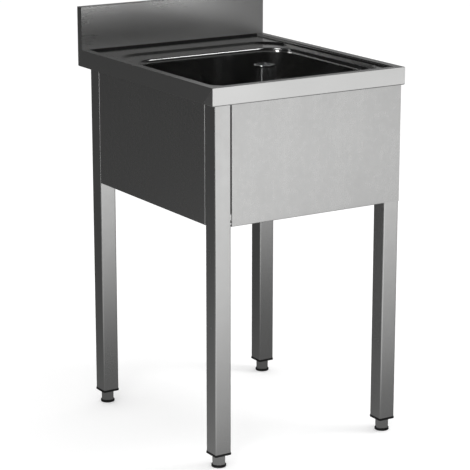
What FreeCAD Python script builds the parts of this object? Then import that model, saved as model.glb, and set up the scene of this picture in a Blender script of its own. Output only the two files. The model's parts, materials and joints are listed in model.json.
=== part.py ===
import FreeCAD, Part
import math
import os

import Sketcher

# Free-standing utility sink of stainless sheet: a pressed worktop with an upstand at the back and one deep
# bowl, carried by four square legs with screw-in feet, and closed below the lip by three apron panels.
# Frame: origin on the floor under the middle of the worktop, +X to the right, +Y to the back, +Z up.

doc = FreeCAD.newDocument("laundry_sink")
dims = doc.addObject("Spreadsheet::Sheet", "dims")

SIZES = [
    ("width", 500, "worktop, side to side"),
    ("depth", 600, "worktop, front to back"),
    ("top_height", 850, "floor to the raised rim of the worktop"),
    ("sheet", 1.2, "worktop sheet"),
    ("lip_drop", 40, "turned-down edge of the worktop"),
    ("hem", 10, "edge folded back flat inside the lip"),
    ("rim", 20, "raised rim round the deck"),
    ("back_rim", 8, "raised strip in front of the upstand"),
    ("deck_drop", 5, "deck below the rim"),
    ("upstand_rise", 100, "upstand above the rim"),
    ("upstand_thick", 20, "upstand, front to back"),
    ("bowl_wide", 400, "inside the bowl, side to side"),
    ("bowl_long", 400, "inside the bowl, front to back"),
    ("bowl_depth", 250, "deck to the bowl's floor"),
    ("bowl_sheet", 1.0, "bowl sheet"),
    ("bowl_setback", 34, "front edge of the worktop to the bowl's inner wall"),
    ("bowl_corner", 60, "inner corner radius of the bowl in plan"),
    ("bowl_foot", 30, "inner radius between wall and floor"),
    ("roll", 8, "radius of the edge that rolls into the bowl"),
    ("flange", 10, "bowl's edge outside its inner wall"),
    ("drain_x", 100, "drain, right of the middle"),
    ("drain_y", 44, "drain, behind the middle of the worktop"),
    ("drain_recess", 76, "diameter of the pressed seat round the drain"),
    ("seat_drop", 3, "depth of the pressed seat"),
    ("tube", 40, "leg tube, outside"),
    ("tube_wall", 1.5, "leg tube wall"),
    ("tube_round", 3, "leg tube outer corner radius"),
    ("side_inset", 8, "worktop's side to the leg"),
    ("front_inset", 4, "worktop's front to the leg"),
    ("back_inset", 45, "worktop's back to the leg"),
    ("cap_under", 28, "floor to the underside of the leg cap"),
    ("cap_thick", 5, "leg cap's plate"),
    ("cap_over", 1, "leg cap beyond the tube on each side"),
    ("plug_long", 25, "leg cap's plug inside the tube"),
    ("plug_slack", 0.1, "plug to tube wall on each side"),
    ("nut_outer", 16, "threaded bush, outside"),
    ("nut_long", 22, "threaded bush, length"),
    ("stud", 9.9, "foot's stud"),
    ("stud_bore", 10.0, "bore of the threaded bush"),
    ("stud_long", 46, "stud above the hexagon"),
    ("hex_flats", 28, "foot's hexagon across flats"),
    ("pad_wide", 33, "foot pad diameter"),
    ("pad_thick", 5, "foot pad height"),
    ("pivot", 14, "foot's pivot boss in the pad"),
    ("pivot_bore", 14.1, "socket of the pad"),
    ("pivot_floor", 2, "pad below the socket"),
    ("socket_long", 60, "plug at the head of the leg"),
    ("socket_wall", 3, "wall of that plug"),
    ("bolt", 8, "leg bolt"),
    ("bolt_head", 13, "leg bolt's head"),
    ("bolt_head_thick", 5, "height of that head"),
    ("bolt_low", 795, "floor to the lower leg bolt"),
    ("bolt_high", 812, "floor to the upper leg bolt"),
    ("rail_wide", 20, "channel under the deck, width"),
    ("rail_tall", 20, "channel under the deck, height"),
    ("rail_sheet", 1.5, "channel sheet"),
    ("panel_sheet", 1.0, "apron sheet"),
    ("panel_low", 545, "floor to the bottom of the aprons"),
    ("panel_top", 838, "floor to the top of the aprons"),
    ("panel_fold", 15, "apron's folds"),
    ("panel_gap", 3, "seam between apron and leg"),
    ("tab_wide", 8, "apron's fixing tab"),
    ("tab_tall", 16, "height of that tab"),
    ("tab_hole", 10, "fixing hole above the apron's bottom"),
    ("screw", 4, "apron screw"),
    ("screw_head", 8, "apron screw's head"),
    ("screw_head_thick", 2.5, "height of that head"),
    ("screw_long", 8, "apron screw, length"),
    ("waste_flange", 72, "waste fitting's flange"),
    ("waste_flange_thick", 2, "thickness of that flange"),
    ("waste_thread", 47.8, "waste fitting's pipe thread, outside"),
    ("waste_bore", 42, "waste fitting's bore"),
    ("waste_long", 58, "waste fitting's tail below its flange"),
    ("thread_long", 35, "pipe thread at the tail's end"),
    ("thread_relief", 4, "turned groove above that thread"),
    ("seal", 1, "upper rubber seal"),
    ("under_seal", 3, "lower rubber seal"),
    ("slip_ring", 1.5, "slip ring under the lower seal"),
    ("locknut_flats", 60, "lock nut across flats"),
    ("locknut_thick", 12, "lock nut height"),
    ("pipe", 40, "standpipe, outside"),
    ("pipe_wall", 1.5, "standpipe wall"),
    ("pipe_top", 820, "floor to the standpipe's top"),
    ("pipe_ring", 48, "standpipe's top ring, outside"),
    ("pipe_ring_tall", 6, "height of that ring"),
    ("stopper_collar", 50, "rubber stopper's collar"),
    ("stopper_collar_thick", 4, "height of that collar"),
    ("stopper_long", 18, "stopper inside the waste fitting"),
    ("stopper_bore", 31, "stopper's bore"),
    ("stopper_slack", 0.2, "stopper to the waste fitting, on each side"),
]
for row, (alias, value, note) in enumerate(SIZES, start=1):
    dims.set("A%d" % row, alias)
    dims.set("B%d" % row, str(value))
    dims.setAlias("B%d" % row, alias)
    dims.set("C%d" % row, note)
doc.recompute()

# Places worked out from the driving sizes, written as expressions on the sheet.
HALF_WIDTH = "(dims.width / 2)"
HALF_DEPTH = "(dims.depth / 2)"
LIP_BOTTOM = "(dims.top_height - dims.lip_drop)"
DECK = "(dims.top_height - dims.deck_drop)"
UNDER_DECK = "(dims.top_height - dims.deck_drop - dims.sheet)"
UPSTAND_FRONT = "(dims.depth / 2 - dims.upstand_thick)"
BOWL_FRONT = "(-dims.depth / 2 + dims.bowl_setback)"
BOWL_BACK = "(-dims.depth / 2 + dims.bowl_setback + dims.bowl_long)"
BOWL_FLOOR = "(dims.top_height - dims.deck_drop - dims.bowl_depth)"
SEAT = "(%s - dims.seat_drop)" % BOWL_FLOOR
LEG_X = "(dims.width / 2 - dims.side_inset - dims.tube / 2)"
LEG_FRONT_Y = "(-dims.depth / 2 + dims.front_inset + dims.tube / 2)"
LEG_BACK_Y = "(dims.depth / 2 - dims.back_inset - dims.tube / 2)"
LEG_LOW = "(dims.cap_under + dims.cap_thick)"
LEG_INNER_X = "(dims.width / 2 - dims.side_inset - dims.tube)"
LEG_OUTER_X = "(dims.width / 2 - dims.side_inset)"
FRONT_LEG_FACE = "(-dims.depth / 2 + dims.front_inset)"
FRONT_LEG_REAR = "(-dims.depth / 2 + dims.front_inset + dims.tube)"
BACK_LEG_FACE = "(dims.depth / 2 - dims.back_inset - dims.tube)"
PLUG = "(dims.tube - 2 * dims.tube_wall - 2 * dims.plug_slack)"

CORNERS = {
    "front_left": (-1, -1),
    "front_right": (1, -1),
    "back_left": (-1, 1),
    "back_right": (1, 1),
}


def number(expression):
    """Value of an expression on the sheet."""
    result = dims.evalExpression(str(expression))
    return float(getattr(result, "Value", result))


def signed(sign, expression):
    """The expression, or its mirror image."""
    return expression if sign > 0 else "(-%s)" % expression


def new_body(label):
    body = doc.addObject("PartDesign::Body", label)
    body.Label = label
    return body


def place(item, x="0", y="0", z="0", axis=(0, 0, 1), turn=0):
    """Stand a finished piece in its place."""
    item.Placement = FreeCAD.Placement(
        FreeCAD.Vector(number(x), number(y), number(z)),
        FreeCAD.Rotation(FreeCAD.Vector(*axis), turn),
    )
    for letter, expression in zip("xyz", (x, y, z)):
        item.setExpression("Placement.Base.%s" % letter, str(expression))
    return item


def sketch_on(body, name, role="XY_Plane", offset="0"):
    """Sketch on one of the body's own planes, moved along that plane's normal."""
    plane = next(item for item in body.Origin.OriginFeatures if item.Role == role)
    sketch = body.newObject("Sketcher::SketchObject", name)
    sketch.AttachmentSupport = (plane, [""])
    sketch.MapMode = "FlatFace"
    sketch.setExpression("AttachmentOffset.Base.z", str(offset))
    return sketch


def hold_point(sketch, line, kind, expression):
    """Hold a line's start at a distance from the sketch's axes."""
    value = number(expression)
    if abs(value) < 1e-9:
        axis = -2 if kind == "DistanceX" else -1
        sketch.addConstraint(Sketcher.Constraint("PointOnObject", line, 1, axis))
        return
    index = sketch.addConstraint(Sketcher.Constraint(kind, -1, 1, line, 1, value))
    sketch.setExpression("Constraints[%d]" % index, str(expression))


def outline(sketch, points):
    """Closed outline of straight lines through points given as pairs of expressions."""
    first = sketch.GeometryCount
    count = len(points)
    places = [FreeCAD.Vector(number(x), number(y), 0) for x, y in points]
    for index in range(count):
        sketch.addGeometry(Part.LineSegment(places[index], places[(index + 1) % count]), False)
    for index in range(count):
        after = first + (index + 1) % count
        sketch.addConstraint(Sketcher.Constraint("Coincident", first + index, 2, after, 1))
    for index, (x, y) in enumerate(points):
        hold_point(sketch, first + index, "DistanceX", x)
        hold_point(sketch, first + index, "DistanceY", y)
    return sketch


def rectangle(sketch, left, right, low, high):
    return outline(sketch, [(left, low), (right, low), (right, high), (left, high)])


def rounded_rectangle(sketch, left, right, low, high, radius):
    """Rectangle whose corners are arcs that run smoothly into its sides."""
    west, east, south, north = (number(side) for side in (left, right, low, high))
    bend = number(radius)
    first = sketch.GeometryCount
    sides = [
        ((west + bend, south), (east - bend, south)),
        ((east, south + bend), (east, north - bend)),
        ((east - bend, north), (west + bend, north)),
        ((west, north - bend), (west, south + bend)),
    ]
    centres = [
        (east - bend, south + bend, -90),
        (east - bend, north - bend, 0),
        (west + bend, north - bend, 90),
        (west + bend, south + bend, 180),
    ]
    for start, end in sides:
        line = Part.LineSegment(FreeCAD.Vector(*start, 0), FreeCAD.Vector(*end, 0))
        sketch.addGeometry(line, False)
    for x, y, angle in centres:
        round_corner = Part.Circle(FreeCAD.Vector(x, y, 0), FreeCAD.Vector(0, 0, 1), bend)
        arc = Part.ArcOfCircle(round_corner, math.radians(angle), math.radians(angle + 90))
        sketch.addGeometry(arc, False)
    for index in range(4):
        line, arc, after = first + index, first + 4 + index, first + (index + 1) % 4
        sketch.addConstraint(Sketcher.Constraint("Tangent", line, 2, arc, 1))
        sketch.addConstraint(Sketcher.Constraint("Tangent", arc, 2, after, 1))
        direction = "Horizontal" if index % 2 == 0 else "Vertical"
        sketch.addConstraint(Sketcher.Constraint(direction, line))
        if index:
            sketch.addConstraint(Sketcher.Constraint("Equal", first + 4, arc))
    size = sketch.addConstraint(Sketcher.Constraint("Radius", first + 4, bend))
    sketch.setExpression("Constraints[%d]" % size, str(radius))
    hold_point(sketch, first, "DistanceY", low)
    hold_point(sketch, first + 1, "DistanceX", right)
    hold_point(sketch, first + 2, "DistanceY", high)
    hold_point(sketch, first + 3, "DistanceX", left)
    return sketch


def circle(sketch, x, y, diameter):
    index = sketch.addGeometry(
        Part.Circle(
            FreeCAD.Vector(number(x), number(y), 0), FreeCAD.Vector(0, 0, 1), number(diameter) / 2
        ),
        False,
    )
    for kind, expression in (("DistanceX", x), ("DistanceY", y)):
        if abs(number(expression)) < 1e-9:
            axis = -2 if kind == "DistanceX" else -1
            sketch.addConstraint(Sketcher.Constraint("PointOnObject", index, 3, axis))
        else:
            held = sketch.addConstraint(
                Sketcher.Constraint(kind, -1, 1, index, 3, number(expression))
            )
            sketch.setExpression("Constraints[%d]" % held, str(expression))
    size = sketch.addConstraint(Sketcher.Constraint("Diameter", index, number(diameter)))
    sketch.setExpression("Constraints[%d]" % size, str(diameter))
    return sketch


def pad(body, sketch, length):
    feature = body.newObject("PartDesign::Pad", sketch.Name + "_pad")
    feature.Profile = sketch
    feature.setExpression("Length", str(length))
    return feature


def pocket(body, sketch, depth, along_normal=False):
    """Cut against the sketch's normal, or along it."""
    doc.recompute()
    before = body.Shape.Volume
    feature = body.newObject("PartDesign::Pocket", sketch.Name + "_pocket")
    feature.Profile = sketch
    feature.setExpression("Length", str(depth))
    feature.Reversed = along_normal
    doc.recompute()
    if body.Shape.Volume > before - 1e-3:
        raise ValueError("%s cuts nothing" % feature.Name)
    return feature


def turned(label, points):
    """Piece turned about its own vertical axis from an outline of (radius, height) points."""
    body = new_body(label)
    sketch = sketch_on(body, label + "_profile", "XZ_Plane")
    outline(sketch, points)
    feature = body.newObject("PartDesign::Revolution", label + "_turned")
    feature.Profile = sketch
    feature.ReferenceAxis = (sketch, ["V_Axis"])
    feature.Angle = 360
    return body


def edges_where(shape, test):
    """Names of the edges whose two ends and middle all pass the test."""
    names = []
    for index, edge in enumerate(shape.Edges, start=1):
        middle = edge.valueAt((edge.FirstParameter + edge.LastParameter) / 2)
        points = [vertex.Point for vertex in edge.Vertexes] + [middle]
        if all(test(point) for point in points):
            names.append("Edge%d" % index)
    return names


def round_edges(body, name, radius, test):
    doc.recompute()
    base = body.Tip
    names = edges_where(base.Shape, test)
    if not names:
        raise ValueError("%s finds no edges" % name)
    feature = body.newObject("PartDesign::Fillet", name)
    feature.Base = (base, names)
    feature.setExpression("Radius", str(radius))
    doc.recompute()
    if feature.Shape.isNull() or not feature.Shape.Edges:
        raise ValueError("%s rounds nothing: %s" % (name, names))
    return feature


def near(value, expression):
    return abs(value - number(expression)) < 0.01


def box(name, x_from, x_to, y_from, y_to, z_from, z_to):
    """Block between two opposite corners."""
    block = doc.addObject("Part::Box", name)
    block.setExpression("Length", "%s - (%s)" % (x_to, x_from))
    block.setExpression("Width", "%s - (%s)" % (y_to, y_from))
    block.setExpression("Height", "%s - (%s)" % (z_to, z_from))
    return place(block, x_from, y_from, z_from)


def joined(label, pieces):
    whole = doc.addObject("Part::MultiFuse", label)
    whole.Shapes = pieces
    whole.Refine = True
    whole.Label = label
    return whole


def drilled(label, whole, holes):
    """The piece with its holes cut."""
    whole.Label = label + "_blank"
    tools = doc.addObject("Part::MultiFuse", label + "_holes")
    tools.Shapes = holes
    cut = doc.addObject("Part::Cut", label + "_drilled")
    cut.Base = whole
    cut.Tool = tools if len(holes) > 1 else holes[0]
    if len(holes) == 1:
        doc.removeObject(tools.Name)
    cut.Label = label
    return cut


def hole(name, x, y, z, diameter, length, axis, turn):
    """Round cutter that starts at a point."""
    cutter = doc.addObject("Part::Cylinder", name)
    cutter.setExpression("Radius", "(%s) / 2" % diameter)
    cutter.setExpression("Height", str(length))
    return place(cutter, x, y, z, axis, turn)


def grouped(label, pieces):
    """Identical fasteners kept as one group of solids."""
    group = doc.addObject("Part::Compound", label)
    group.Links = pieces
    group.Label = label
    return group


def ring_of(label, outer, inner, low, high):
    """Plain ring between two heights."""
    return turned(
        label,
        [
            ("%s / 2" % inner, low),
            ("%s / 2" % outer, low),
            ("%s / 2" % outer, high),
            ("%s / 2" % inner, high),
        ],
    )


# ---- worktop: one sheet, pressed and folded ----


def make_worktop():
    body = new_body("worktop")
    inner_x = "(%s - dims.sheet)" % HALF_WIDTH
    inner_y = "(%s - dims.sheet)" % HALF_DEPTH
    deck_x = "(%s - dims.rim)" % HALF_WIDTH
    deck_front = "(-%s + dims.rim)" % HALF_DEPTH
    deck_back = "(%s - dims.back_rim)" % UPSTAND_FRONT

    slab = sketch_on(body, "slab", offset=LIP_BOTTOM)
    rectangle(slab, signed(-1, HALF_WIDTH), HALF_WIDTH, signed(-1, HALF_DEPTH), HALF_DEPTH)
    pad(body, slab, "dims.lip_drop")

    upstand = sketch_on(body, "upstand", offset="dims.top_height")
    rectangle(upstand, signed(-1, HALF_WIDTH), HALF_WIDTH, UPSTAND_FRONT, HALF_DEPTH)
    pad(body, upstand, "dims.upstand_rise")

    deck = sketch_on(body, "deck", offset="dims.top_height")
    rectangle(deck, signed(-1, deck_x), deck_x, deck_front, deck_back)
    pocket(body, deck, "dims.deck_drop")

    # Hollow underneath, which leaves the lips and the deck as sheet.
    under = sketch_on(body, "under_deck", offset=LIP_BOTTOM)
    rectangle(under, signed(-1, inner_x), inner_x, signed(-1, inner_y), inner_y)
    pocket(body, under, "%s - %s" % (UNDER_DECK, LIP_BOTTOM), along_normal=True)

    # Hollow inside the raised rim.
    under_rim = sketch_on(body, "under_rim", offset=UNDER_DECK)
    rectangle(under_rim, signed(-1, inner_x), inner_x, signed(-1, inner_y), inner_y)
    rectangle(
        under_rim,
        "-%s - dims.sheet" % deck_x,
        "%s + dims.sheet" % deck_x,
        "%s - dims.sheet" % deck_front,
        "%s + dims.sheet" % deck_back,
    )
    pocket(body, under_rim, "dims.deck_drop", along_normal=True)

    # The upstand is folded forward, up, back and down again, and open at its two ends.
    inside = sketch_on(body, "inside_upstand", offset="dims.top_height")
    rectangle(
        inside, signed(-1, HALF_WIDTH), HALF_WIDTH, "%s + dims.sheet" % UPSTAND_FRONT, inner_y
    )
    pocket(body, inside, "dims.upstand_rise - dims.sheet", along_normal=True)
    through = sketch_on(body, "below_upstand", offset="dims.top_height")
    rectangle(through, signed(-1, inner_x), inner_x, "%s + dims.sheet" % UPSTAND_FRONT, inner_y)
    pocket(body, through, "2 * dims.sheet")

    hem = sketch_on(body, "hem", offset=LIP_BOTTOM)
    rectangle(hem, signed(-1, inner_x), inner_x, signed(-1, inner_y), inner_y)
    rectangle(
        hem,
        "-%s + dims.sheet" % inner_x,
        "%s - dims.sheet" % inner_x,
        "-%s + dims.sheet" % inner_y,
        "%s - dims.sheet" % inner_y,
    )
    pad(body, hem, "dims.hem")

    opening = sketch_on(body, "bowl_opening", offset=DECK)
    half_opening = "(dims.bowl_wide / 2 + dims.flange)"
    opening_front = "(%s - dims.flange)" % BOWL_FRONT
    opening_back = "(%s + dims.flange)" % BOWL_BACK
    rounded_rectangle(
        opening,
        signed(-1, half_opening),
        half_opening,
        opening_front,
        opening_back,
        "dims.bowl_corner + dims.flange",
    )
    pocket(body, opening, "2 * dims.sheet")
    round_edges(
        body,
        "crease",
        "2.5 * dims.sheet",
        lambda p: near(p.y, UPSTAND_FRONT) and near(p.z, "dims.top_height"),
    )
    round_edges(
        body,
        "folded_edges",
        "0.9 * dims.sheet",
        lambda p: near(p.z, "dims.top_height + dims.upstand_rise")
        or (near(p.z, "dims.top_height") and near(p.y, "-" + HALF_DEPTH))
        or (
            near(p.z, "dims.top_height")
            and near(abs(p.x), HALF_WIDTH)
            and p.y < number(UPSTAND_FRONT) - 2.5 * number("dims.sheet") + 0.01
        ),
    )
    return body


def make_upstand_end(label, side):
    """Plate welded into the open end of the upstand."""
    outer = signed(side, HALF_WIDTH)
    inner = signed(side, "(%s - dims.sheet)" % HALF_WIDTH)
    low, high = (inner, outer) if side > 0 else (outer, inner)
    plate = box(
        label,
        low,
        high,
        "%s + dims.sheet" % UPSTAND_FRONT,
        "%s - dims.sheet" % HALF_DEPTH,
        "dims.top_height",
        "dims.top_height + dims.upstand_rise - dims.sheet",
    )
    plate.Label = label
    return plate


# ---- bowl: deep-drawn and welded into the deck ----


def make_bowl():
    body = new_body("bowl")
    half = "(dims.bowl_wide / 2)"
    edge = "(dims.bowl_wide / 2 + dims.flange)"
    outer = "(dims.bowl_wide / 2 + dims.bowl_sheet)"
    under_edge = "(%s - dims.bowl_sheet)" % DECK
    underside = "(%s - dims.bowl_sheet)" % BOWL_FLOOR

    outer_front = "(%s - dims.bowl_sheet)" % BOWL_FRONT
    outer_back = "(%s + dims.bowl_sheet)" % BOWL_BACK
    edge_front = "(%s - dims.flange)" % BOWL_FRONT
    edge_back = "(%s + dims.flange)" % BOWL_BACK

    shell = sketch_on(body, "bowl_outside", offset=underside)
    rounded_rectangle(
        shell, signed(-1, outer), outer, outer_front, outer_back, "dims.bowl_corner + dims.bowl_sheet"
    )
    pad(body, shell, "dims.bowl_depth")

    rim = sketch_on(body, "bowl_edge", offset=under_edge)
    rounded_rectangle(
        rim, signed(-1, edge), edge, edge_front, edge_back, "dims.bowl_corner + dims.flange"
    )
    pad(body, rim, "dims.bowl_sheet")
    round_edges(
        body,
        "roll_outside",
        "dims.roll - dims.bowl_sheet",
        lambda p: near(p.z, under_edge)
        and abs(p.x) < number(outer) + 0.1
        and number(outer_front) - 0.1 < p.y < number(outer_back) + 0.1,
    )

    inside = sketch_on(body, "bowl_inside", offset=DECK)
    rounded_rectangle(inside, signed(-1, half), half, BOWL_FRONT, BOWL_BACK, "dims.bowl_corner")
    pocket(body, inside, "dims.bowl_depth")
    round_edges(
        body,
        "inside_foot",
        "dims.bowl_foot",
        lambda p: near(p.z, BOWL_FLOOR),
    )
    round_edges(
        body,
        "roll_inside",
        "dims.roll",
        lambda p: near(p.z, DECK)
        and abs(p.x) < number(half) + 0.1
        and number(BOWL_FRONT) - 0.1 < p.y < number(BOWL_BACK) + 0.1,
    )

    round_edges(
        body,
        "outside_foot",
        "dims.bowl_foot + dims.bowl_sheet",
        lambda p: near(p.z, underside),
    )

    # Seat pressed into the floor round the drain hole.
    boss = sketch_on(body, "seat_outside", offset="%s - dims.seat_drop" % underside)
    circle(boss, "dims.drain_x", "dims.drain_y", "dims.drain_recess + 2 * dims.bowl_sheet")
    pad(body, boss, "dims.seat_drop")
    seat = sketch_on(body, "seat_inside", offset=BOWL_FLOOR)
    circle(seat, "dims.drain_x", "dims.drain_y", "dims.drain_recess")
    pocket(body, seat, "dims.seat_drop")
    drain = sketch_on(body, "drain_hole", offset=SEAT)
    circle(drain, "dims.drain_x", "dims.drain_y", "dims.waste_thread + 0.6")
    pocket(body, drain, "2 * dims.bowl_sheet")
    return body


# ---- legs, each with a plug at its head and a cap and a screw-in foot below ----


def leg_place(item, corner, z="0"):
    side, back = CORNERS[corner]
    return place(item, signed(side, LEG_X), LEG_BACK_Y if back > 0 else LEG_FRONT_Y, z)


def square(sketch, size, radius):
    half = "(%s / 2)" % size
    return rounded_rectangle(sketch, "-" + half, half, "-" + half, half, radius)


def side_hole(body, name, side, face, y, z, diameter, wall):
    """Round hole through the wall that faces the middle of the sink, right or left."""
    sketch = sketch_on(body, name, "YZ_Plane", signed(-side, face))
    circle(sketch, y, z, diameter)
    pocket(body, sketch, wall, along_normal=side > 0)


def depth_hole(body, name, back, face, x, z, diameter, wall):
    """Round hole through the wall that faces the middle of the sink, front or back."""
    sketch = sketch_on(body, name, "XZ_Plane", signed(back, face))
    circle(sketch, x, z, diameter)
    pocket(body, sketch, wall, along_normal=back < 0)


def tab_middle(corner):
    """Apron tab holes, measured from the leg's axis: across for the front tab, along for the side tab."""
    side, back = CORNERS[corner]
    half = "dims.tube / 2"
    front_tab = "(-%s + dims.tab_wide)" % half
    side_tab = signed(side, "(%s - dims.panel_sheet - dims.tab_wide)" % half)
    return front_tab, side_tab


def make_leg(corner):
    side, back = CORNERS[corner]
    body = new_body("leg_" + corner)
    tube = sketch_on(body, "tube_" + corner, offset=LEG_LOW)
    square(tube, "dims.tube", "dims.tube_round")
    square(tube, "(dims.tube - 2 * dims.tube_wall)", "(dims.tube_round - dims.tube_wall)")
    pad(body, tube, "%s - %s" % (UNDER_DECK, LEG_LOW))
    for name, height in (("low", "dims.bolt_low"), ("high", "dims.bolt_high")):
        side_hole(
            body, "bolt_%s_%s" % (name, corner), side, "(dims.tube / 2)", "0", height,
            "dims.bolt + 0.4", "1.5 * dims.tube_wall",
        )
    front_tab, side_tab = tab_middle(corner)
    tab_height = "dims.panel_low + dims.tab_hole"
    depth_hole(
        body, "side_tab_" + corner, back, "(dims.tube / 2)", side_tab, tab_height,
        "dims.screw + 0.2", "1.5 * dims.tube_wall",
    )
    if back < 0:
        side_hole(
            body, "front_tab_" + corner, side, "(dims.tube / 2)", front_tab, tab_height,
            "dims.screw + 0.2", "1.5 * dims.tube_wall",
        )
    return leg_place(body, corner)


def make_leg_socket(corner):
    """Square plug welded under the deck, over which the leg slides."""
    side = CORNERS[corner][0]
    body = new_body("leg_socket_" + corner)
    plug = sketch_on(body, "socket_" + corner, offset="%s - dims.socket_long" % UNDER_DECK)
    square(plug, PLUG, "dims.tube_round")
    square(plug, "(%s - 2 * dims.socket_wall)" % PLUG, "1")
    pad(body, plug, "dims.socket_long")
    for name, height in (("low", "dims.bolt_low"), ("high", "dims.bolt_high")):
        side_hole(
            body, "socket_%s_%s" % (name, corner), side, "(%s / 2)" % PLUG, "0", height,
            "dims.bolt + 0.1", "1.5 * dims.socket_wall",
        )
    return leg_place(body, corner)


def make_leg_cap(corner):
    """Plastic cap: a plate under the tube and a plug inside it, bored for the threaded bush."""
    body = new_body("leg_cap_" + corner)
    plate = sketch_on(body, "cap_plate_" + corner, offset="dims.cap_under")
    square(plate, "(dims.tube + 2 * dims.cap_over)", "dims.tube_round + dims.cap_over")
    pad(body, plate, "dims.cap_thick")
    plug = sketch_on(body, "cap_plug_" + corner, offset=LEG_LOW)
    square(plug, PLUG, "dims.tube_round")
    pad(body, plug, "dims.plug_long")
    round_edges(
        body,
        "cap_edges_" + corner,
        "0.8",
        lambda p: (near(p.z, "dims.cap_under") or near(p.z, LEG_LOW))
        and max(abs(p.x), abs(p.y)) > number("dims.tube / 2"),
    )
    bush_bore = sketch_on(body, "bush_bore_" + corner, offset=LEG_LOW)
    circle(bush_bore, "0", "0", "dims.nut_outer")
    pocket(body, bush_bore, "dims.plug_long + 1", along_normal=True)
    stud_bore = sketch_on(body, "stud_bore_" + corner, offset="dims.cap_under")
    circle(stud_bore, "0", "0", "dims.stud_bore + 1")
    pocket(body, stud_bore, "dims.cap_thick + 1", along_normal=True)
    return leg_place(body, corner)


def make_leg_nut(corner):
    """Threaded steel bush moulded into the cap."""
    bush = ring_of(
        "foot_nut_" + corner, "dims.nut_outer", "dims.stud_bore", "0", "dims.nut_long"
    )
    return leg_place(bush, corner, LEG_LOW)


def make_foot_screw(corner):
    """Steel foot turned by its hexagon: pivot boss below, hexagon, and stud above."""
    gap = "0.1"
    hexagon_low = "(dims.pad_thick + %s)" % gap
    hexagon_high = "(dims.cap_under - 0.3)"
    body = turned(
        "foot_screw_" + corner,
        [
            ("0", "dims.pivot_floor + %s" % gap),
            ("dims.pivot / 2", "dims.pivot_floor + %s" % gap),
            ("dims.pivot / 2", hexagon_low + " + 1"),
            ("dims.stud / 2", hexagon_low + " + 1"),
            ("dims.stud / 2", "%s + dims.stud_long - 1" % hexagon_high),
            ("dims.stud / 2 - 1", "%s + dims.stud_long" % hexagon_high),
            ("0", "%s + dims.stud_long" % hexagon_high),
        ],
    )
    hexagon = sketch_on(body, "hexagon_" + corner, offset=hexagon_low)
    reach = "dims.hex_flats / sqrt(3)"
    outline(
        hexagon,
        [
            ("%s * cos(%d deg)" % (reach, angle), "%s * sin(%d deg)" % (reach, angle))
            for angle in range(0, 360, 60)
        ],
    )
    pad(body, hexagon, "%s - %s" % (hexagon_high, hexagon_low))
    corner_reach = number("dims.hex_flats") / math.sqrt(3)
    feature = round_edges(
        body,
        "hexagon_ends_" + corner,
        "0.6",
        lambda p: (near(p.z, hexagon_low) or near(p.z, hexagon_high))
        and math.hypot(p.x, p.y) > corner_reach * 0.85,
    )
    feature.Label = "hexagon_ends_" + corner
    return leg_place(body, corner)


def make_foot_pad(corner):
    """Round black pad that stays still while the foot turns in its socket."""
    pad_body = turned(
        "foot_pad_" + corner,
        [
            ("0", "0"),
            ("dims.pad_wide / 2 - 1", "0"),
            ("dims.pad_wide / 2", "1"),
            ("dims.pad_wide / 2", "dims.pad_thick - 1.5"),
            ("dims.pad_wide / 2 - 1.5", "dims.pad_thick"),
            ("dims.pivot_bore / 2", "dims.pad_thick"),
            ("dims.pivot_bore / 2", "dims.pivot_floor"),
            ("0", "dims.pivot_floor"),
        ],
    )
    return leg_place(pad_body, corner)


def screw_outline(head, head_thick, shank, length):
    """Head behind the height of zero, shank in front of it."""
    return [
        ("0", "-%s" % head_thick),
        ("%s / 2 - 1" % head, "-%s" % head_thick),
        ("%s / 2" % head, "-%s + 1" % head_thick),
        ("%s / 2" % head, "0"),
        ("%s / 2" % shank, "0"),
        ("%s / 2" % shank, "%s - 0.5" % length),
        ("%s / 2 - 0.5" % shank, length),
        ("0", length),
    ]


def make_leg_bolts():
    """Two bolts through the inner wall of each leg into its plug."""
    bolts = []
    for corner, (side, back) in CORNERS.items():
        for name, height in (("low", "dims.bolt_low"), ("high", "dims.bolt_high")):
            bolt = turned(
                "leg_bolt_%s_%s" % (name, corner),
                screw_outline("dims.bolt_head", "dims.bolt_head_thick", "(dims.bolt - 0.1)", "8"),
            )
            y = LEG_BACK_Y if back > 0 else LEG_FRONT_Y
            place(bolt, signed(side, LEG_INNER_X), y, height, (0, 1, 0), 90 * side)
            bolts.append(bolt)
    return grouped("leg_bolts", bolts)


# ---- channels under the deck ----


def channel_across(label, y_from, y_to):
    """Channel from leg to leg, open downwards."""
    wall = "dims.rail_sheet"
    low = "(%s - dims.rail_tall)" % UNDER_DECK
    body = new_body(label)
    sketch = sketch_on(body, label + "_section", "YZ_Plane", "-%s" % LEG_INNER_X)
    outline(
        sketch,
        [
            (y_from, low),
            ("%s + %s" % (y_from, wall), low),
            ("%s + %s" % (y_from, wall), "%s - %s" % (UNDER_DECK, wall)),
            ("%s - %s" % (y_to, wall), "%s - %s" % (UNDER_DECK, wall)),
            ("%s - %s" % (y_to, wall), low),
            (y_to, low),
            (y_to, UNDER_DECK),
            (y_from, UNDER_DECK),
        ],
    )
    pad(body, sketch, "2 * %s" % LEG_INNER_X)
    return body


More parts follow.
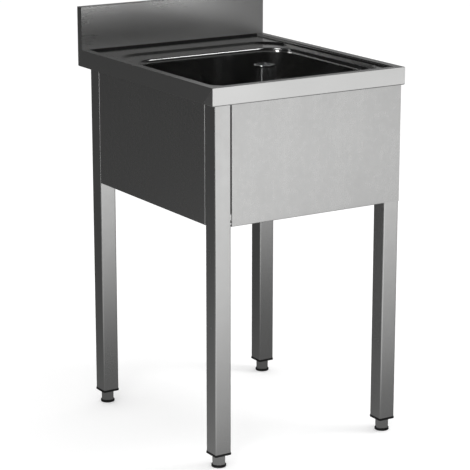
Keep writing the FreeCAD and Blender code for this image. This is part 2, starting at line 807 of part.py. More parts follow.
def channel_along(label, side):
    """Channel from the front leg to the back leg, open downwards."""
    wall = "dims.rail_sheet"
    low = "(%s - dims.rail_tall)" % UNDER_DECK
    near_x = signed(side, "(%s - dims.panel_sheet)" % LEG_OUTER_X)
    far_x = signed(side, "(%s - dims.panel_sheet - dims.rail_wide)" % LEG_OUTER_X)
    inward = "-" if side > 0 else "+"
    outward = "+" if side > 0 else "-"
    body = new_body(label)
    sketch = sketch_on(body, label + "_section", "XZ_Plane", "-%s" % BACK_LEG_FACE)
    outline(
        sketch,
        [
            (near_x, low),
            ("%s %s %s" % (near_x, inward, wall), low),
            ("%s %s %s" % (near_x, inward, wall), "%s - %s" % (UNDER_DECK, wall)),
            ("%s %s %s" % (far_x, outward, wall), "%s - %s" % (UNDER_DECK, wall)),
            ("%s %s %s" % (far_x, outward, wall), low),
            (far_x, low),
            (far_x, UNDER_DECK),
            (near_x, UNDER_DECK),
        ],
    )
    pad(body, sketch, "%s - %s" % (BACK_LEG_FACE, FRONT_LEG_REAR))
    return body


# ---- aprons ----


def make_front_apron():
    """Front panel: a seam beside the left leg, lapped over the face of the right leg."""
    front = "(%s - dims.panel_sheet)" % FRONT_LEG_FACE
    back = FRONT_LEG_FACE
    fold = "(%s + dims.panel_fold)" % FRONT_LEG_FACE
    left = "(-%s + dims.panel_gap)" % LEG_INNER_X
    top = "dims.panel_top"
    low = "dims.panel_low"
    floor = "(dims.panel_low + dims.panel_sheet)"
    above_tab = "(dims.panel_low + 2 * dims.tab_tall)"
    below_rail = "(%s - dims.rail_tall - 4)" % UNDER_DECK
    end_fold = "(%s + 2 * dims.panel_fold / 3)" % FRONT_LEG_FACE
    tab_front = "(%s + dims.tab_wide / 2)" % FRONT_LEG_FACE
    tab_back = "(%s + 1.5 * dims.tab_wide)" % FRONT_LEG_FACE
    pieces = [
        box("front_face", left, LEG_OUTER_X, front, back, low, top),
        box("front_bottom_fold", left, LEG_INNER_X, front, fold, low, floor),
        box("front_end_fold", left, "%s + dims.panel_sheet" % left, front, end_fold, above_tab, below_rail),
        box("front_left_step", "-" + LEG_INNER_X, left, tab_front, tab_back, low, floor),
    ]
    holes = []
    for name, side in (("left", -1), ("right", 1)):
        face = signed(side, LEG_INNER_X)
        inner = signed(side, "(%s - dims.panel_sheet)" % LEG_INNER_X)
        x_from, x_to = (inner, face) if side > 0 else (face, inner)
        pieces.append(
            box("front_tab_" + name, x_from, x_to, tab_front, tab_back, low, "%s + dims.tab_tall" % low)
        )
        holes.append(
            hole(
                "front_tab_hole_" + name, "%s - 3" % x_from, "%s + dims.tab_wide" % FRONT_LEG_FACE,
                "%s + dims.tab_hole" % low, "dims.screw + 0.2", "6", (0, 1, 0), 90,
            )
        )
    return drilled("front_apron", joined("front_apron", pieces), holes)


def make_side_apron(label, side):
    """Side panel between the front and the back leg, with a seam at each end."""

    def across(name, near_face, far_face, y_from, y_to, z_from, z_to):
        a = signed(side, near_face)
        b = signed(side, far_face)
        x_from, x_to = (b, a) if side > 0 else (a, b)
        return box(label + name, x_from, x_to, y_from, y_to, z_from, z_to)

    face = LEG_OUTER_X
    skin = "(%s - dims.panel_sheet)" % LEG_OUTER_X
    fold = "(%s - dims.panel_fold)" % LEG_OUTER_X
    front = "(%s + dims.panel_gap)" % FRONT_LEG_REAR
    back = "(%s - dims.panel_gap)" % BACK_LEG_FACE
    top = "dims.panel_top"
    low = "dims.panel_low"
    floor = "(dims.panel_low + dims.panel_sheet)"
    above_tab = "(dims.panel_low + 2 * dims.tab_tall)"
    below_rail = "(%s - dims.rail_tall - 4)" % UNDER_DECK
    tab_out = "(%s - dims.panel_sheet - dims.tab_wide / 2)" % LEG_OUTER_X
    tab_in = "(%s - dims.panel_sheet - 1.5 * dims.tab_wide)" % LEG_OUTER_X
    tab_axis = "(%s - dims.panel_sheet - dims.tab_wide)" % LEG_OUTER_X
    pieces = [
        across("_face", face, skin, front, back, low, top),
        across("_bottom_fold", face, fold, front, back, low, floor),
        across("_front_fold", face, fold, front, "%s + dims.panel_sheet" % front, above_tab, below_rail),
        across("_back_fold", face, fold, "%s - dims.panel_sheet" % back, back, above_tab, below_rail),
        across("_front_step", tab_out, tab_in, FRONT_LEG_REAR, front, low, floor),
        across("_back_step", tab_out, tab_in, back, BACK_LEG_FACE, low, floor),
        across(
            "_front_tab", tab_out, tab_in, FRONT_LEG_REAR, "%s + dims.panel_sheet" % FRONT_LEG_REAR,
            low, "%s + dims.tab_tall" % low,
        ),
        across(
            "_back_tab", tab_out, tab_in, "%s - dims.panel_sheet" % BACK_LEG_FACE, BACK_LEG_FACE,
            low, "%s + dims.tab_tall" % low,
        ),
    ]
    holes = []
    for name, y in (("front", FRONT_LEG_REAR), ("back", BACK_LEG_FACE)):
        holes.append(
            hole(
                "%s_%s_hole" % (label, name), signed(side, tab_axis), "%s + 3" % y,
                "%s + dims.tab_hole" % low, "dims.screw + 0.2", "6", (1, 0, 0), 90,
            )
        )
    return drilled(label, joined(label, pieces), holes)


def apron_screw(name, x, y, axis, turn):
    screw = turned(
        name,
        screw_outline("dims.screw_head", "dims.screw_head_thick", "dims.screw", "dims.screw_long"),
    )
    return place(screw, x, y, "dims.panel_low + dims.tab_hole", axis, turn)


def make_front_apron_screws():
    y = "%s + dims.tab_wide" % FRONT_LEG_FACE
    face = "(%s - dims.panel_sheet)" % LEG_INNER_X
    screws = [
        apron_screw("front_screw_left", "-" + face, y, (0, 1, 0), -90),
        apron_screw("front_screw_right", face, y, (0, 1, 0), 90),
    ]
    return grouped("front_apron_screws", screws)


def make_side_apron_screws(label, side):
    x = signed(side, "(%s - dims.panel_sheet - dims.tab_wide)" % LEG_OUTER_X)
    screws = [
        apron_screw(label + "_front", x, "%s + dims.panel_sheet" % FRONT_LEG_REAR, (1, 0, 0), 90),
        apron_screw(label + "_back", x, "%s - dims.panel_sheet" % BACK_LEG_FACE, (1, 0, 0), -90),
    ]
    return grouped(label, screws)


# ---- waste fitting under the drain hole ----


def at_drain(item, z="0"):
    return place(item, "dims.drain_x", "dims.drain_y", z)


def make_waste_body():
    """Flange in the pressed seat and threaded tail below, with a relief groove under the lock nut."""
    flange_low = "(%s + dims.seal)" % SEAT
    flange_high = "(%s + dims.waste_flange_thick)" % flange_low
    low = "(%s - dims.waste_long)" % flange_low
    body = turned(
        "waste_body",
        [
            ("dims.waste_bore / 2", low),
            ("dims.waste_thread / 2 - 1", low),
            ("dims.waste_thread / 2", low + " + 1"),
            ("dims.waste_thread / 2", low + " + dims.thread_long"),
            ("dims.waste_thread / 2 - 1", low + " + dims.thread_long"),
            ("dims.waste_thread / 2 - 1", low + " + dims.thread_long + dims.thread_relief"),
            ("dims.waste_thread / 2", low + " + dims.thread_long + dims.thread_relief"),
            ("dims.waste_thread / 2", flange_low),
            ("dims.waste_flange / 2", flange_low),
            ("dims.waste_flange / 2", flange_high + " - 1"),
            ("dims.waste_flange / 2 - 1", flange_high),
            ("dims.waste_bore / 2", flange_high),
        ],
    )
    return at_drain(body)


def make_waste_rings():
    """Seals above and below the bowl, the slip ring and the lock nut that clamps them."""
    under = "(%s - dims.bowl_sheet)" % SEAT
    seal_low = "(%s - dims.under_seal)" % under
    ring_low = "(%s - dims.slip_ring)" % seal_low
    nut_low = "(%s - dims.locknut_thick)" % ring_low
    top_seal = ring_of(
        "waste_top_seal", "(dims.waste_flange - 2)", "(dims.waste_thread + 0.2)", SEAT, SEAT + " + dims.seal"
    )
    under_seal = ring_of(
        "waste_under_seal", "(dims.waste_flange - 4)", "(dims.waste_thread + 0.2)", seal_low, under
    )
    slip = ring_of(
        "waste_slip_ring", "(dims.waste_flange - 4)", "(dims.waste_thread + 0.2)", ring_low, seal_low
    )
    nut = new_body("waste_locknut")
    hexagon = sketch_on(nut, "locknut_outline", offset=nut_low)
    reach = "dims.locknut_flats / sqrt(3)"
    outline(
        hexagon,
        [
            ("%s * cos(%d deg)" % (reach, angle), "%s * sin(%d deg)" % (reach, angle))
            for angle in range(0, 360, 60)
        ],
    )
    circle(hexagon, "0", "0", "dims.waste_thread + 0.2")
    pad(nut, hexagon, "dims.locknut_thick")
    return [at_drain(item) for item in (top_seal, under_seal, slip, nut)]


# ---- standpipe: stands in the waste fitting and lifts out to empty the bowl ----


def make_standpipe():
    flange_high = "(%s + dims.seal + dims.waste_flange_thick)" % SEAT
    collar_high = "(%s + dims.stopper_collar_thick)" % flange_high
    plug = "(dims.waste_bore / 2 - dims.stopper_slack)"
    spigot = "(dims.pipe / 2 - dims.pipe_wall - 0.1)"
    stopper = turned(
        "standpipe_stopper",
        [
            ("dims.stopper_bore / 2", "%s - dims.stopper_long" % flange_high),
            ("%s - 2" % plug, "%s - dims.stopper_long" % flange_high),
            (plug, "%s - dims.stopper_long + 4" % flange_high),
            (plug, flange_high),
            ("dims.stopper_collar / 2", flange_high),
            ("dims.stopper_collar / 2", "%s - 1" % collar_high),
            ("dims.stopper_collar / 2 - 1", collar_high),
            (spigot, collar_high),
            (spigot, "%s + 15" % collar_high),
            ("dims.stopper_bore / 2", "%s + 15" % collar_high),
        ],
    )
    tube = ring_of(
        "standpipe_tube", "dims.pipe", "(dims.pipe - 2 * dims.pipe_wall)", collar_high, "dims.pipe_top"
    )
    ring = turned(
        "standpipe_ring",
        [
            ("dims.pipe / 2", "dims.pipe_top - dims.pipe_ring_tall"),
            ("dims.pipe_ring / 2 - 1", "dims.pipe_top - dims.pipe_ring_tall"),
            ("dims.pipe_ring / 2", "dims.pipe_top - dims.pipe_ring_tall + 1"),
            ("dims.pipe_ring / 2", "dims.pipe_top - 2"),
            ("dims.pipe_ring / 2 - 2", "dims.pipe_top"),
            ("dims.pipe / 2", "dims.pipe_top"),
        ],
    )
    return [at_drain(item) for item in (stopper, tube, ring)]


# ---- the whole sink ----

pieces = [
    make_worktop(),
    make_upstand_end("upstand_end_left", -1),
    make_upstand_end("upstand_end_right", 1),
    make_bowl(),
    channel_across("front_rail", FRONT_LEG_FACE, "(%s + dims.rail_wide)" % FRONT_LEG_FACE),
    channel_across("back_rail", BACK_LEG_FACE, "(%s + dims.rail_wide)" % BACK_LEG_FACE),
    channel_along("left_rail", -1),
    channel_along("right_rail", 1),
    make_front_apron(),
    make_side_apron("left_apron", -1),
    make_side_apron("right_apron", 1),
    make_front_apron_screws(),
    make_side_apron_screws("left_apron_screws", -1),
    make_side_apron_screws("right_apron_screws", 1),
    make_leg_bolts(),
    make_waste_body(),
]
pieces += make_waste_rings()
pieces += make_standpipe()
for corner in CORNERS:
    pieces.append(make_leg(corner))
    pieces.append(make_leg_socket(corner))
    pieces.append(make_leg_cap(corner))
    pieces.append(make_leg_nut(corner))
    pieces.append(make_foot_screw(corner))
    pieces.append(make_foot_pad(corner))
doc.recompute()

for item in doc.Objects:
    if "Invalid" in item.State or "Error" in item.State:
        raise ValueError("%s did not build: %s" % (item.Label, item.State))
for piece in pieces:
    if piece.Shape.isNull() or not piece.Shape.isValid():
        raise ValueError("%s has no valid shape" % piece.Label)

os.makedirs("parts", exist_ok=True)
for piece in pieces:
    piece.Shape.exportStep("parts/%s.step" % piece.Label)
    bounds = piece.Shape.BoundBox
    print(
        "%-28s solids %d  volume %10.1f  x %7.1f %7.1f  y %7.1f %7.1f  z %6.1f %6.1f"
        % (
            piece.Label, len(piece.Shape.Solids), piece.Shape.Volume,
            bounds.XMin, bounds.XMax, bounds.YMin, bounds.YMax, bounds.ZMin, bounds.ZMax,
        )
    )
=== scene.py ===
# %% [markdown]
# # A stainless laundry sink, dressed for its picture
#
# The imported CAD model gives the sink's solids, sizes and moving bodies. This lesson loads them as a fixed frame,
# sets up the camera and the light, and then makes the pieces whose folds, rolls and polish decide how the real
# sink looks: the worktop, the bowl, the legs, the panels, the feet and the standpipe.

import json
from math import cos, pi, radians, sin

import bpy
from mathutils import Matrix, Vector


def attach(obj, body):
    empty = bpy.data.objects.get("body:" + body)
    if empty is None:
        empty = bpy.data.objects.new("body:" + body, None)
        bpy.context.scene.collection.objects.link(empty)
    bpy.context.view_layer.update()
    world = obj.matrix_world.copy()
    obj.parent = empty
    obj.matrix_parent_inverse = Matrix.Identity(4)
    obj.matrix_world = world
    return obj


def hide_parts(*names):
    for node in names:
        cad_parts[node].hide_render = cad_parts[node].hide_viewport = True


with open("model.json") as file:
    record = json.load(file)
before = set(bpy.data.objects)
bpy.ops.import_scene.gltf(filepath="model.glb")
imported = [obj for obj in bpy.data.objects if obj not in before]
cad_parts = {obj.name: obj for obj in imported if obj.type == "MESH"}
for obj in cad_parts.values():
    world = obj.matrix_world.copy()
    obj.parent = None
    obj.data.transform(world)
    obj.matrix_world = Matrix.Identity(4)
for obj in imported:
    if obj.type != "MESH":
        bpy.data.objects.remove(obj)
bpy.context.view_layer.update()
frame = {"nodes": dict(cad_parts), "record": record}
nodes = frame["nodes"]
print("loaded", len(nodes), "nodes")

# %% [markdown]
# ## The camera
#
# The picture was taken with a long lens from the front left, a little above the rim. The place, turn and lens
# below were worked out from the sink's own edges, so the drawn sink lies over the photographed one.

# %% Camera
scene = bpy.context.scene
scene.view_settings.view_transform = "Standard"
eye = bpy.data.cameras.new("picture_camera")
eye.sensor_width = 36
eye.lens = 152.76
eye.clip_end = 200
camera = bpy.data.objects.new("picture_camera", eye)
scene.collection.objects.link(camera)
camera.location = (-2.3884, -3.7941, 1.6036)
camera.rotation_euler = (radians(75.379), 0, radians(-32.121))
scene.camera = camera
print("camera", [round(v, 3) for v in camera.location], "lens", eye.lens, "mm")

# %% [markdown]
# ## Nodes written as sums
#
# A finish is a small network of nodes. A `Wire` holds one socket of it, so that sums can be written as sums, and
# `node` adds any other node with its settings and its inputs.


# %% Wires
class Wire:
    """One socket of a finish. A sum written on wires adds Math nodes."""

    def __init__(self, tree, socket):
        self.tree = tree
        self.socket = socket

    def node(self, kind, settings, inputs, output=0):
        made = self.tree.nodes.new("ShaderNode" + kind)
        for name, value in settings.items():
            if name != "stops":
                setattr(made, name, value)
                continue
            stops = made.color_ramp.elements
            while len(stops) < len(value):
                stops.new(0.5)
            for stop, (place, tone) in zip(stops, value):
                stop.position = place
                stop.color = (tone, tone, tone, 1)
        for name, value in inputs.items():
            if isinstance(value, Wire):
                self.tree.links.new(value.socket, made.inputs[name])
            else:
                made.inputs[name].default_value = value
        return Wire(self.tree, made.outputs[output])

    def sum(self, operation, first, second):
        return self.node("Math", {"operation": operation}, {0: first, 1: second})

    def __add__(self, other):
        return self.sum("ADD", self, other)

    def __radd__(self, other):
        return self.sum("ADD", other, self)

    def __sub__(self, other):
        return self.sum("SUBTRACT", self, other)

    def __rsub__(self, other):
        return self.sum("SUBTRACT", other, self)

    def __mul__(self, other):
        return self.sum("MULTIPLY", self, other)

    def __rmul__(self, other):
        return self.sum("MULTIPLY", other, self)


# %% [markdown]
# Every finish starts from the same four moves: a new material, a cloudy pattern, a colour that is shaded from
# place to place, and a link to the shader. The patterns read the place on the piece itself, so they stay put when
# the piece moves.


# %% Parts of a finish
def start_finish(name):
    """A new material, its main shader, and a wire with the place on the piece in metres."""
    finish = bpy.data.materials.new(name)
    finish.use_nodes = True
    tree = finish.node_tree
    place = tree.nodes.new("ShaderNodeTexCoord")
    return finish, tree.nodes["Principled BSDF"], Wire(tree, place.outputs["Object"])


def noise(place, scale, detail=2.0, stretch=(1, 1, 1)):
    """Cloudy pattern from 0 to 1. Stretch is how many times finer it is along each axis."""
    spread = place.node("Mapping", {"vector_type": "POINT"}, {"Vector": place, "Scale": stretch})
    return place.node("TexNoise", {}, {"Vector": spread, "Scale": scale, "Detail": detail, "Roughness": 0.55})


def shaded(colour, shade):
    """A colour multiplied by a shade that changes from place to place."""
    settings = {"data_type": "RGBA", "blend_type": "MULTIPLY"}
    return shade.node("Mix", settings, {0: 1.0, 6: (*colour, 1), 7: shade}, output=2)


def feed(shader, socket, wire):
    wire.tree.links.new(wire.socket, shader.inputs[socket])


# %% [markdown]
# ## Stainless steel
#
# The sheet is stainless steel with a fine, soft brush grain. It has no colour of its own: what is seen is the
# room, blurred. So the finish is a bright metal with medium roughness, grain lines that run one way, and broad
# clouds left by rolling, pressing and wiping, which make the gloss uneven. The grain is a noise that is drawn out
# ninety times longer along one axis than across it.


# %% Steel finishes
def steel_finish(name, tone, roughness, grain, clouds=0.10, lines=0.05, cloud_size=7.0, bump=0.25):
    """Stainless steel. Grain is X, Y or Z, the way that its lines run."""
    finish, shader, place = start_finish(name)
    line = noise(place, 14, 3, [1 if axis == grain else 90 for axis in "XYZ"])
    cloud = noise(place, cloud_size, 3)
    wipe = noise(place, 3.1, 2, [1 if axis == grain else 4 for axis in "XYZ"])
    uneven = (line - 0.5) * lines + (cloud - 0.5) * clouds + (wipe - 0.5) * clouds
    feed(shader, "Roughness", uneven + roughness)
    feed(shader, "Base Color", shaded(tone, 1 - uneven * 1.2))
    feed(shader, "Normal", place.node("Bump", {}, {"Height": line, "Strength": bump, "Distance": 0.00005}))
    shader.inputs["Metallic"].default_value = 1.0
    return finish


SHEET = (0.62, 0.62, 0.615)
worktop_steel = steel_finish("worktop_steel", SHEET, 0.16, "X", clouds=0.04, lines=0.03, bump=0.1)
# The upstand is rougher, and its colour is painted lighter than the sheet's to stand in for the bright front it
# reflects.
upstand_steel = steel_finish("upstand_steel", (0.86, 0.86, 0.855), 0.28, "X", clouds=0.05, lines=0.03, bump=0.1)
ground_weld = steel_finish("ground_weld", (0.66, 0.66, 0.655), 0.42, "Z", clouds=0.06, cloud_size=60)
panel_steel = steel_finish("panel_steel", SHEET, 0.28, "Z", clouds=0.05, cloud_size=70)
leg_steel = steel_finish("leg_steel", SHEET, 0.25, "Z", clouds=0.05, cloud_size=40)
# The bowl's colour is painted darker than the sheet's, as shade for its deep, dark inside.
bowl_steel = steel_finish("bowl_steel", (0.52, 0.52, 0.515), 0.17, "Z", clouds=0.04, lines=0.03, bump=0.15)
# Painted shade: a dark, dull steel for the strip at the upstand's foot, where the crease lies in shadow.
joint_steel = steel_finish("joint_steel", (0.10, 0.10, 0.10), 0.50, "X", clouds=0.10)
rail_steel = steel_finish("rail_steel", (0.55, 0.55, 0.545), 0.36, "X", clouds=0.16)
turned_steel = steel_finish("turned_steel", (0.60, 0.60, 0.595), 0.20, "X", lines=0.08, cloud_size=90)
print("9 steel finishes made")

# %% [markdown]
# ## Chrome, zinc, plastic and rubber
#
# The small pieces have plainer finishes: chrome on brass for the standpipe, zinc on the screws, and black plastic
# and rubber under the legs. One recipe does for all of them, a colour broken up by fine grain and by slow wear.
# Turned chrome has rings too fine to model, and they draw its highlights out, which is what anisotropy is for.


# %% Other finishes
def coat_finish(name, colour, metallic, roughness, grain_size, uneven, bump=0.0):
    """Any other finish: one colour, broken up by fine grain and by slow wear."""
    finish, shader, place = start_finish(name)
    grain = noise(place, grain_size, 3)
    wear = noise(place, 18, 2)
    change = (grain - 0.5) * uneven + (wear - 0.5) * uneven
    feed(shader, "Roughness", change + roughness)
    feed(shader, "Base Color", shaded(colour, 1 - change))
    if bump:
        feed(shader, "Normal", place.node("Bump", {}, {"Height": grain, "Strength": 0.4, "Distance": bump}))
    shader.inputs["Metallic"].default_value = metallic
    return finish


CHROME = (0.80, 0.81, 0.82)
chrome = coat_finish("chrome_on_brass", CHROME, 1.0, 0.07, 260, 0.04)
turned_chrome = coat_finish("turned_chrome", CHROME, 1.0, 0.17, 260, 0.04)
turned_shader = turned_chrome.node_tree.nodes["Principled BSDF"]
turned_shader.inputs["Anisotropic"].default_value = 0.95
turned_shader.inputs["Anisotropic Rotation"].default_value = 0.25
zinc = coat_finish("zinc_plating", (0.60, 0.61, 0.62), 1.0, 0.32, 400, 0.16)
black_plastic = coat_finish("black_plastic", (0.005, 0.005, 0.005), 0.0, 0.50, 900, 0.16, 0.00003)
white_plastic = coat_finish("white_plastic", (0.78, 0.78, 0.76), 0.0, 0.45, 700, 0.10, 0.00003)
rubber = coat_finish("black_rubber", (0.006, 0.006, 0.006), 0.0, 0.62, 1100, 0.18, 0.00006)
print("6 other finishes made")

# %% [markdown]
# ## The carried-over pieces
#
# Pieces under the deck, such as the rails, the waste fitting and the screws, keep their CAD shape. Each gets the
# finish that its material slot names, or that of the sheet that it belongs to.

# %% Finishes for the CAD nodes
by_slot = {
    "stainless_sheet": rail_steel,
    "drawn_steel": bowl_steel,
    "turned_steel": turned_steel,
    "plated_steel": zinc,
    "chrome_brass": chrome,
    "black_plastic": black_plastic,
    "white_plastic": white_plastic,
    "black_rubber": rubber,
}
slots = {part["node"]: part["material_slot"] for part in frame["record"]["subparts"]}


def node_finish(name):
    """The finish of a CAD node, by its name and its slot."""
    if name.startswith(("leg_front", "leg_back")):
        return leg_steel
    if name.startswith(("worktop", "upstand")):
        return worktop_steel
    if "apron" in name and "screw" not in name:
        return panel_steel
    return by_slot[slots[name]]


def paint(piece, finish):
    """Gives a piece one finish all over."""
    piece.data.materials.clear()
    piece.data.materials.append(finish)


for name, node in nodes.items():
    paint(node, node_finish(name))
print("painted", len(nodes), "nodes")

# %% [markdown]
# ## The floor
#
# The floor is plain and pale. It glows a little for the eye, for gloss and for glass alike, so that it is as white
# as the backdrop where nothing shades it, while it lights the sink no more than paper would.


# %% Floor
def rest():
    """Leaves edit mode with nothing selected."""
    if bpy.context.object and bpy.context.object.mode != "OBJECT":
        bpy.ops.object.mode_set(mode="OBJECT")
    bpy.ops.object.select_all(action="DESELECT")


def card(name, middle, size, turn, finish):
    """A flat card of the studio, facing up before it is turned."""
    rest()
    bpy.ops.mesh.primitive_plane_add(size=1, location=middle, rotation=[radians(a) for a in turn])
    piece = bpy.context.object
    piece.name = name
    piece.scale = (size[0], size[1], 1)
    bpy.ops.object.transform_apply(location=True, rotation=True, scale=True)
    paint(piece, finish)
    return piece


def looked_at(tree):
    """1 for the eye, for gloss and for glass, and 0 for the light that a surface sends to others."""
    path = tree.nodes.new("ShaderNodeLightPath")
    eyes, gloss, glass = [
        Wire(tree, path.outputs[kind]) for kind in ("Is Camera Ray", "Is Glossy Ray", "Is Transmission Ray")
    ]
    return eyes + gloss + glass


def paper(name, tone, glow):
    """Plain matt paper with a glow of its own."""
    finish, shader, place = start_finish(name)
    shader.inputs["Base Color"].default_value = (tone, tone, tone, 1)
    shader.inputs["Roughness"].default_value = 0.9
    shader.inputs["Specular IOR Level"].default_value = 0.1
    shader.inputs["Emission Color"].default_value = (1, 1, 1, 1)
    feed(shader, "Emission Strength", looked_at(place.tree) * glow)
    return finish


floor = card("floor", (0, 0, -0.001), (80, 80), (0, 0, 0), paper("floor_paper", 0.80, 0.32))
print("floor laid,", [round(v) for v in floor.dimensions[:2]], "m")

# %% [markdown]
# ## The tent
#
# Brushed steel shows the room that it stands in, blurred. So a dim tent is put up round the sink, as a
# photographer of steel does: its floor is bright towards the front right and dark towards the back left, and its
# walls are dark, with a low glow in front and a faint band at the back right. Only gloss sees the tent, so it takes
# no light from the floor and hides nothing from the camera.


# %% Tent
def tent_cloth(name, tone):
    """Glowing cloth. Its tone is worked out from the place: along and across the line of sight, and height."""
    finish, shader, place = start_finish(name)
    shader.inputs["Base Color"].default_value = (0, 0, 0, 1)
    shader.inputs["Specular IOR Level"].default_value = 0.0
    shader.inputs["Emission Strength"].default_value = 1.0
    x, y, z = [place.node("SeparateXYZ", {}, {0: place}, output=k) for k in range(3)]
    feed(shader, "Emission Color", tone(x * 0.53 - y * 0.85, x * 0.85 + y * 0.53, z))
    return finish


def ramp(wire, low, high, stops):
    """Tone by place: stops are given in metres between low and high."""
    span = high - low
    stops = [((at - low) / span, tone) for at, tone in stops]
    return wire.node("ValToRGB", {"stops": stops}, {0: (wire - low) * (1 / span)})


def for_gloss_only(piece):
    """Hides a piece of the studio from everything but gloss."""
    piece.visible_camera = False
    piece.visible_diffuse = False
    piece.visible_transmission = False
    piece.visible_shadow = False


def ground_tone(along, across, height):
    """Bright in front and to the right, falling off towards the back and the far left."""
    towards = along - (across + 0.35) * 1.5
    rise = ramp(towards, -4, 4, [
        (-4.0, 0.07), (-2.2, 0.07), (-1.4, 0.10), (-0.9, 0.13), (-0.4, 0.15), (0.1, 0.22), (0.4, 0.37),
        (0.9, 0.53), (1.2, 0.70), (1.6, 0.84), (2.3, 0.90), (2.65, 0.93), (3.1, 1.0), (3.5, 1.04),
    ])
    left = ramp(across, -2, 2, [(-0.32, 1.10), (-0.16, 1.0)])
    near_side = ramp(across, -4, 4, [(-1.8, 0.0), (-0.8, 1.0)])
    far_left = ramp(along, -4, 4, [(-4.0, 0.10), (0.6, 0.12), (1.8, 1.0)])
    return rise * left * (near_side + (1 - near_side) * far_left)


def wall_tone(along, across, height):
    """Dark, with a low glow in front, a faint band at the back right and slow changes with height."""
    front = ramp(along, -8, 8, [(2, 0.0), (6, 1.0)])
    low = ramp(height, -8, 8, [(-8, 0.0), (0.5, 0.5), (0.9, 0.08), (2.4, 0.0)])
    back = ramp(along, -8, 8, [(-2, 1.0), (0, 0.0)])
    right = ramp(across, -8, 8, [(3, 0.0), (6, 1.0)])
    band = back * right * ramp(height, -8, 8, [(1.4, 0.0), (2.0, 0.22), (2.95, 0.22), (3.35, 0.0)])
    air = ramp(height, -8, 8, [
        (0, 0.09), (0.8, 0.05), (1.2, 0.02), (1.8, 0.04), (2.4, 0.16), (3.4, 0.16), (4.2, 0.04), (5, 0.025),
        (8, 0.015),
    ])
    return front * low + band + air * (1 - back * 0.7)


for_gloss_only(card("tent_floor", (0, 0, -0.0002), (16, 16), (0, 0, 0), tent_cloth("tent_ground", ground_tone)))
rest()
bpy.ops.mesh.primitive_uv_sphere_add(segments=48, ring_count=24, radius=7.9)
tent = bpy.context.object
tent.name = "tent_walls"
paint(tent, tent_cloth("tent_side", wall_tone))
for_gloss_only(tent)
print("tent of", round(tent.dimensions.x, 1), "m put up")

# %% [markdown]
# ## Cards and lamps
#
# Six cards hang in the tent. Two strips at the front left and three boxes overhead draw the white lines on the
# bowl's rolled edge, the standpipe and the rounded corners, and a grey flag stands at the right. Two soft lamps and
# an even air then light all that is not gloss.


# %% Cards
def soft_box(name, middle, size, turn, tone):
    """A card of one tone, seen by gloss only."""
    even = tent_cloth("soft_box", lambda along, across, height: along * 0 + tone)
    for_gloss_only(card(name, middle, size, turn, even))


soft_box("left_strip", (-3.2, -1.7, 0.8), (0.9, 1.6), (90, 0, -62), 1.6)
soft_box("high_strip", (-3.2, -1.7, 3.05), (0.5, 2.9), (90, 0, -62), 12)
soft_box("right_box", (1.9, 0.4, 3.8), (0.8, 0.8), (180, 0, 0), 4)
soft_box("middle_box", (-0.1, 0.8, 3.8), (0.6, 0.6), (180, 0, 0), 6)
soft_box("back_box", (-0.7, 2.4, 3.6), (0.6, 0.6), (180, 0, 0), 1.6)
soft_box("right_flag", (0.6, 0.0, 0.72), (1.2, 0.44), (90, 0, 90), 0.10)
print("6 cards hung")


# %% Lamps and air
def lamp(name, place, aim, size, power):
    """A soft square lamp that points at a place on the sink. Gloss shows the cards instead of it."""
    light = bpy.data.lights.new(name, "AREA")
    light.shape = "RECTANGLE"
    light.size = light.size_y = size
    light.energy = power
    made = bpy.data.objects.new(name, light)
    scene.collection.objects.link(made)
    made.location = place
    made.rotation_euler = (Vector(aim) - Vector(place)).to_track_quat("-Z", "Y").to_euler()
    made.visible_glossy = False


lamp("overhead_lamp", (1.5, -1.0, 2.9), (0, 0, 0.8), 0.9, 22)
lamp("left_lamp", (-2.6, -2.2, 2.6), (0, 0, 0.6), 1.2, 20)

world = bpy.data.worlds.new("studio_air")
scene.world = world
world.use_nodes = True
background = world.node_tree.nodes["Background"]
background.inputs["Color"].default_value = (1, 1, 1, 1)
feed(background, "Strength", looked_at(world.node_tree) * 0.1 + 0.9)
print("studio ready")

# %% [markdown]
# ## Hands for modelling
#
# The pieces are modelled as by hand: a plain shape is added at its size and place, and then its faces and edges
# are chosen, pulled, spread and rounded. The first helpers add the plain shapes, open in edit mode.


# %% Plain shapes
def open_up(name, size=(1, 1, 1)):
    """Names the shape just added, gives it its size and opens it in edit mode."""
    piece = bpy.context.object
    piece.name = name
    piece.scale = size
    bpy.ops.object.transform_apply(location=True, rotation=True, scale=True)
    bpy.ops.object.mode_set(mode="EDIT")
    return piece


def flat(name, low, high, height):
    """A level rectangle between two corners."""
    rest()
    middle = ((low[0] + high[0]) / 2, (low[1] + high[1]) / 2, height)
    bpy.ops.mesh.primitive_plane_add(size=1, location=middle)
    return open_up(name, (high[0] - low[0], high[1] - low[1], 1))


def block(name, low, high):
    """A box between two corners."""
    rest()
    bpy.ops.mesh.primitive_cube_add(size=1, location=[(a + b) / 2 for a, b in zip(low, high)])
    return open_up(name, [b - a for a, b in zip(low, high)])


def drum(name, middle, low, high, radius, sides=64, ends="NGON"):
    """An upright round bar or ring between two heights."""
    rest()
    bpy.ops.mesh.primitive_cylinder_add(
        vertices=sides, radius=radius, depth=high - low, end_fill_type=ends,
        location=(middle[0], middle[1], (low + high) / 2),
    )
    return open_up(name)


# %% [markdown]
# With no hand on the mouse, faces and edges are chosen by their place. `choose` takes a test of a point, of an
# edge's two ends, or of a face's middle and normal.


